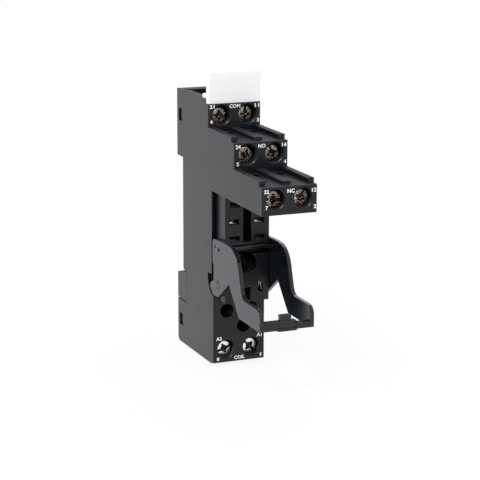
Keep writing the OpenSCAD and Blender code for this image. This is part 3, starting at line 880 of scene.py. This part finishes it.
@dataclass
class MouldedBody:
    """The housing, its rear cover and the marker plate."""

    housing: MouldedPlastic = MouldedPlastic("black housing nylon", (0.0056, 0.006, 0.0078))
    cover: MouldedPlastic = MouldedPlastic("black cover nylon", (0.0062, 0.0066, 0.0084))
    plate: MilkyPlastic = MilkyPlastic("white marker plastic", (0.9, 0.903, 0.9))

    def build(self) -> None:
        """Dresses the three mouldings."""
        dress("housing", self.housing.material())
        dress("rear_cover", self.cover.material())
        dress("marker_plate", self.plate.material())


@dataclass
class MovingPlastic:
    """The retaining lever and the rail latch with its spring."""

    lever: MouldedPlastic = MouldedPlastic(
        "black lever nylon", (0.0055, 0.006, 0.0074), roughness=0.14, top_roughness=0.35,
        gloss=0.46, haze=0.15, haze_colour=(0.45, 0.65, 1.0),
    )
    spring: LatchSpring = field(default_factory=LatchSpring)

    def build(self) -> None:
        """Dresses the lever and the latch and winds the spring."""
        nylon = self.lever.material()
        dress("retaining_lever", nylon)
        dress("rail_latch", nylon)
        self.spring.build()


@dataclass(frozen=True)
class Lamp:
    """A soft square lamp that is aimed at the socket, with its power in watts."""

    name: str
    place: Place
    size: float
    power: float


@dataclass
class Studio:
    """White surroundings, a pale floor, soft lamps and the camera, with its angles in degrees.

    The floor shows the share glow of pure white beside the socket, and all of it from fade_to
    on. The surroundings look pure white, and light the socket with the strength fill.
    """

    floor_z: float = -41.2
    floor_half: float = 3000.0
    floor_colour: Colour = (0.82, 0.82, 0.82)
    fade_from: float = 80.0
    fade_to: float = 300.0
    glow: float = 0.9
    fill: float = 0.82
    target: Place = (0.0, -20.0, 0.0)
    lamps: tuple[Lamp, ...] = (
        Lamp("soft lamp high behind", (280.0, 660.0, 600.0), 500.0, 2.0),
        Lamp("high front lamp", (-420.0, -400.0, 780.0), 200.0, 4.0),
    )
    lens: float = 116.19
    sensor: float = 36.0
    clip: float = 10.0
    camera_place: Place = (-167.15, -431.09, 102.25)
    camera_turn: float = -22.407
    camera_height: float = 13.507
    camera_roll: float = 0.223

    def _white(self, shader: Shader) -> Expr:
        """Where a ray that shows the background arrives.

        Args:
            shader: The floor's or the world's shader.

        Returns:
            1 for rays from the camera, a reflection or clear plastic, and 0 for the others.
        """
        path = shader.node("ShaderNodeLightPath")
        seen = Expr(shader, path.outputs["Is Camera Ray"])
        seen = seen.larger(Expr(shader, path.outputs["Is Glossy Ray"]))
        return seen.larger(Expr(shader, path.outputs["Is Transmission Ray"]))

    def _floor(self) -> None:
        """Lays the floor, which keeps the shadow near the socket and turns white further out."""
        half = self.floor_half * MM
        z = self.floor_z * MM
        corners = [(-half, -half, z), (half, -half, z), (half, half, z), (-half, half, z)]
        mesh = bpy.data.meshes.new("studio_floor")
        mesh.from_pydata(corners, [], [(0, 1, 2, 3)])
        floor = bpy.data.objects.new("studio_floor", mesh)
        bpy.context.scene.collection.objects.link(floor)
        shader = Shader("pale floor")
        x, y, _ = shader.parts(shader.place())
        away = ((x * x + y * y) ** 0.5).step(self.fade_from * MM, self.fade_to * MM)
        share = self._white(shader) * (self.glow + away * (1.0 - self.glow))
        pale = shader.node("ShaderNodeBsdfDiffuse", None, {"Color": self.floor_colour})
        white = shader.node("ShaderNodeEmission", None, {"Color": WHITE, "Strength": 1.0})
        layers = {0: share, 1: pale.outputs[0], 2: white.outputs[0]}
        mixed = shader.node("ShaderNodeMixShader", None, layers)
        shader.node("ShaderNodeOutputMaterial", None, {"Surface": mixed.outputs[0]})
        mesh.materials.append(shader.owner)

    def _world(self) -> None:
        """Makes the surroundings white to look at and dim as a light."""
        world = bpy.data.worlds.new("soft studio")
        bpy.context.scene.world = world
        shader = Shader("soft studio", world)
        white = self._white(shader)
        strength = self.fill + white * (1.0 - self.fill)
        sky = shader.node("ShaderNodeBackground", None, {"Color": WHITE, "Strength": strength})
        shader.node("ShaderNodeOutputWorld", None, {"Surface": sky.outputs[0]})

    def _camera(self) -> None:
        """Sets the camera at the photograph's view."""
        turn = math.radians(self.camera_turn)
        height = math.radians(self.camera_height)
        roll = math.radians(self.camera_roll)
        reach = math.cos(height)
        back = Vector((math.sin(turn) * reach, -math.cos(turn) * reach, math.sin(height)))
        level = (-back).cross(Vector((0.0, 0.0, 1.0))).normalized()
        upright = level.cross(-back)
        right = level * math.cos(roll) + upright * math.sin(roll)
        up = upright * math.cos(roll) - level * math.sin(roll)
        data = bpy.data.cameras.new("photo camera")
        data.lens = self.lens
        data.sensor_width = self.sensor
        data.clip_start = self.clip * MM
        camera = bpy.data.objects.new("photo camera", data)
        bpy.context.scene.collection.objects.link(camera)
        place = Matrix((right, up, back)).transposed().to_4x4()
        place.translation = Vector(self.camera_place) * MM
        camera.matrix_world = place
        bpy.context.scene.camera = camera

    def _lamps(self) -> None:
        """Hangs the lamps."""
        for lamp in self.lamps:
            light = bpy.data.lights.new(lamp.name, "AREA")
            light.shape = "SQUARE"
            light.size = lamp.size * MM
            light.energy = lamp.power
            hung = bpy.data.objects.new(lamp.name, light)
            bpy.context.scene.collection.objects.link(hung)
            hung.location = [value * MM for value in lamp.place]
            aim = Vector(self.target) - Vector(lamp.place)
            hung.rotation_euler = aim.to_track_quat("-Z", "Y").to_euler()

    def build(self) -> None:
        """Sets up the whole studio."""
        self._floor()
        self._world()
        self._lamps()
        self._camera()
        bpy.context.scene.view_settings.view_transform = "Standard"


def main() -> None:
    """Dresses the socket, prints its marks and sets up the studio."""
    logging.basicConfig(level=logging.INFO, format="%(message)s")
    MouldedBody().build()
    MovingPlastic().build()
    Terminals().build()
    PrintedMarks().build()
    Studio().build()


if __name__ == "__main__":
    main()
